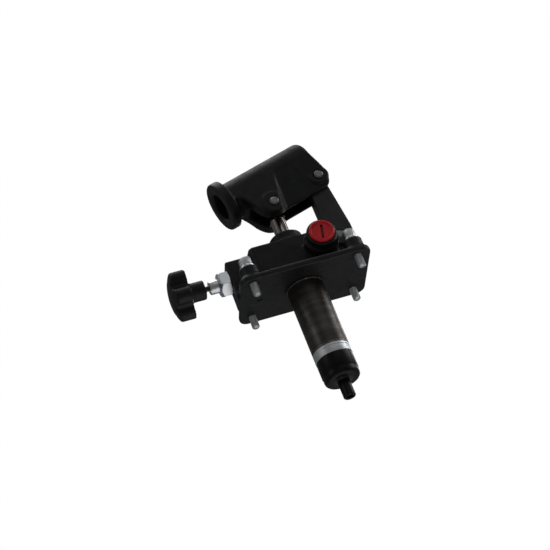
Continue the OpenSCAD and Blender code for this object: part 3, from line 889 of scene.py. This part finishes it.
def make_wiper():
    """The rubber wiper with its thin lip against the rod."""
    z0, z1 = low("rod_wiper").z, high("rod_wiper").z
    outer = high("rod_wiper").x
    rod = 7.8 * MM
    rings = rounded([
        (rod + 0.2 * MM, z0, 0),
        (outer, z0, 0),
        (outer, z1 - 1.3 * MM, 0.5 * MM),
        (rod + 1.6 * MM, z1 - 1.2 * MM, 0.4 * MM),
        (rod + 0.9 * MM, z1, 0.3 * MM),
        (rod, z1, 0.1 * MM),
        (rod + 0.7 * MM, z1 - 1.6 * MM, 0),
        (rod + 0.2 * MM, z0, 0),
    ], 0)[:-1]
    return fit(loft("wiper_lip", rings, 96, closed=True), "rod_wiper")


def make_pin(name, node, grooves):
    """A pin along Y in dulled plating, with domed chamfered ends and grooves for its clips."""
    lo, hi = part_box(node)
    middle = (lo + hi) / 2
    radius = (hi.x - lo.x) / 2
    length = hi.y - lo.y
    end_r = radius - 1.5 * MM
    groove_r = radius - 0.5 * MM
    chamfer = 0.75 * MM
    points = [(0, 0, 0), (end_r, 0, 0.4 * MM), (radius, chamfer, 0.25 * MM)]
    for y in grooves:
        z = y - lo.y
        points += [
            (radius, z, 0),
            (groove_r, z + 0.05 * MM, 0),
            (groove_r, z + 1.05 * MM, 0),
            (radius, z + 1.1 * MM, 0),
        ]
    points += [(radius, length - chamfer, 0.25 * MM), (end_r, length, 0.4 * MM), (0, length, 0)]
    piece = loft(name, rounded(points, 0), 72)
    return fit(place(piece, (middle.x, lo.y, middle.z), (0, 1, 0)), node, "dulled_zinc")


def make_plug():
    """The red transport plug: raised rim, sunk face with a deep slot, hollow shank."""
    lo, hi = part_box("port_plug")
    middle = (lo + hi) / 2
    radius = (hi.x - lo.x) / 2
    length = hi.y - lo.y
    port_face = mount("pressure_port")["pos_m"][1]
    seat = length - (port_face - lo.y)
    shank = 10.2 * MM
    hollow = length - 4.2 * MM
    sunk = length - 1.3 * MM
    rings = rounded([
        (0, hollow, 0),
        (7.6 * MM, hollow, 0.4 * MM),
        (8 * MM, 0, 0),
        (shank, 0, 0.4 * MM),
        (shank, seat + 0.05 * MM, 0),
        (radius - 0.1 * MM, seat + 0.05 * MM, 0.2 * MM),
        (radius, length - 0.8 * MM, 0.3 * MM),
        (radius - 0.9 * MM, length, 0.9 * MM),
        (radius - 2.0 * MM, length, 0.9 * MM),
        (radius - 3.1 * MM, sunk, 0.5 * MM),
        (0, sunk, 0),
    ], 0)
    piece = loft("transport_plug", rings, 112)
    slot = bar((2.4 * MM, 16 * MM, 5 * MM), (0.4 * MM, 0, sunk + 0.3 * MM))
    cut(piece, slot)
    piece.data.transform(Matrix.Rotation(math.radians(-12), 4, "Z"))
    return fit(place(piece, (middle.x, hi.y, middle.z), (0, -1, 0)), "port_plug")


# ---- the pieces ------------------------------------------------------------------------------

# Piece, CAD node, fillet, edge radius, voxel and finish. A wall thinner than two edge radii would be lost.
CASTINGS = [
    ("body_casting", "pump_body", 2.4 * MM, 1.1 * MM, 0.7 * MM, "cast_paint"),
    ("socket_casting", "handle_socket", 2.0 * MM, 1.2 * MM, 0.7 * MM, "cast_paint"),
    ("link_casting", "link_arm", 2.0 * MM, 0.9 * MM, 0.5 * MM, "link_paint"),
    ("star_knob", "release_knob", 2.6 * MM, 1.6 * MM, 0.5 * MM, "black_plastic"),
]
for piece_name, cad_node, fillet, edge, voxel, finish in CASTINGS:
    fit(casting(piece_name, cad_node, fillet, edge, voxel), cad_node, finish)
make_barrel()
make_lock_ring()
make_end_cap()
make_nozzle()
make_foot_spring()
make_cap_screws()
make_spring_washers()
make_flat_washers()
make_valve()
make_spindle()
make_gland_nut()
make_wiper()
# Known fault: lever_pin's groove is placed from the wide collar, so it lies past the end of the CAD pin.
make_pin("lever_pin", "rod_pin", [high("handle_socket").y + 0.2 * MM])
make_pin("upper_pin", "link_upper_pin", [LINK_CHEEK_HALF + 0.2 * MM])
make_pin("foot_pin", "link_lower_pin", [high("link_arm").y + 0.4 * MM])
make_plug()


def finish_cad_nodes():
    """Finishes for the CAD nodes that stay: their edges get a small bevel as well."""
    for node, piece in frame["nodes"].items():
        if piece.hide_render:
            continue
        piece.data.materials.clear()
        piece.data.materials.append(finishes[slot_of[node]])
        weld = piece.modifiers.new("weld", "WELD")
        weld.merge_threshold = 0.001 * MM
        edge = piece.modifiers.new("edge", "BEVEL")
        edge.width = 0.18 * MM
        edge.segments = 2
        edge.limit_method = "ANGLE"
        edge.angle_limit = math.radians(40)
        edge.harden_normals = False


finish_cad_nodes()


# ---- floor, backdrop, light and camera --------------------------------------------------------


def plain_surface(name, colour, strength):
    """Pale studio surface, with a little light of its own so that it stays even."""
    material = bpy.data.materials.new(name)
    material.use_nodes = True
    surface = material.node_tree.nodes["Principled BSDF"]
    surface.inputs["Base Color"].default_value = (*colour, 1)
    surface.inputs["Roughness"].default_value = 0.9
    surface.inputs["Emission Color"].default_value = (*WHITE, 1)
    surface.inputs["Emission Strength"].default_value = strength
    return material


def make_studio():
    """A round pale floor far below the hanging barrel, and a white dome behind everything."""
    floor_z = -0.95
    floor_r = 9.0
    under = floor_z - 0.02
    floor = loft("floor", [(0, under), (floor_r, under), (floor_r, floor_z), (0, floor_z)], 96)
    floor.data.materials.append(plain_surface("floor_pale", (0.3, 0.3, 0.3), 0.72))
    steps = 24
    dome_r = 12.0
    heights = np.linspace(-math.pi / 2, math.pi / 2, steps)
    rows = [(dome_r * math.cos(a), dome_r * math.sin(a)) for a in heights]
    rows[0], rows[-1] = (0, -dome_r), (0, dome_r)
    dome = loft("backdrop", rows, 64, sharp=None)
    dome.data.materials.append(plain_surface("backdrop_white", (0, 0, 0), 1.0))
    for surface in (floor, dome):
        surface.visible_diffuse = False
        surface.visible_glossy = False
        surface.visible_shadow = False


def area_light(name, where, target, size, power):
    """A white rectangle of light that the camera doesn't see."""
    data = bpy.data.lights.new(name, "AREA")
    data.shape = "RECTANGLE"
    data.size, data.size_y = size
    data.energy = power
    data.color = WHITE
    lamp = bpy.data.objects.new(name, data)
    lamp.location = where
    lamp.rotation_mode = "QUATERNION"
    lamp.rotation_quaternion = (Vector(target) - Vector(where)).to_track_quat("-Z", "Y")
    lamp.visible_camera = False
    bpy.context.scene.collection.objects.link(lamp)
    return lamp


def make_lights():
    """A faint sky and six soft lamps, all aimed at the body."""
    world = bpy.data.worlds.new("studio")
    bpy.context.scene.world = world
    world.use_nodes = True
    sky = world.node_tree.nodes["Background"]
    sky.inputs["Color"].default_value = (0.95, 0.97, 1, 1)
    sky.inputs["Strength"].default_value = 0.12
    target = (0, 0, 0.01)
    lamps = [
        # name, place, size and power in watts
        ("key", (0.35, -1.35, 0.9), (1.3, 0.9), 1.4),
        ("right", (1.45, -0.1, 0.7), (0.7, 0.9), 6),
        ("left", (-1.3, -0.6, 0.8), (0.6, 0.9), 1.6),
        ("under", (0.1, 0.1, -0.9), (1.2, 1.2), 3.2),
        ("back", (0.9, 1.2, 0.5), (0.9, 0.7), 5),
        ("top", (-0.1, 0.15, 1.5), (1.2, 1.2), 9),
    ]
    for name, where, size, power in lamps:
        area_light(name, where, target, size, power)


def make_camera():
    """The view from below and in front, on a long lens."""
    data = bpy.data.cameras.new("view")
    data.lens = 97.27
    data.sensor_width = 36
    data.clip_start = 0.05
    data.clip_end = 40
    data.dof.use_dof = False
    camera = bpy.data.objects.new("view", data)
    right = Vector((0.94469, -0.03355, -0.32624))
    up = Vector((0.25985, -0.53036, 0.80697))
    forward = Vector((0.20010, 0.84711, 0.49231))
    eye = (-0.31979, -1.25450, -0.70602)
    turn = Matrix((right, up, -forward)).transposed().to_4x4()
    camera.matrix_world = Matrix.Translation(eye) @ turn
    bpy.context.scene.collection.objects.link(camera)
    bpy.context.scene.camera = camera


make_studio()
make_lights()
make_camera()
bpy.context.scene.view_settings.view_transform = "Standard"
bpy.context.scene.view_settings.look = "None"
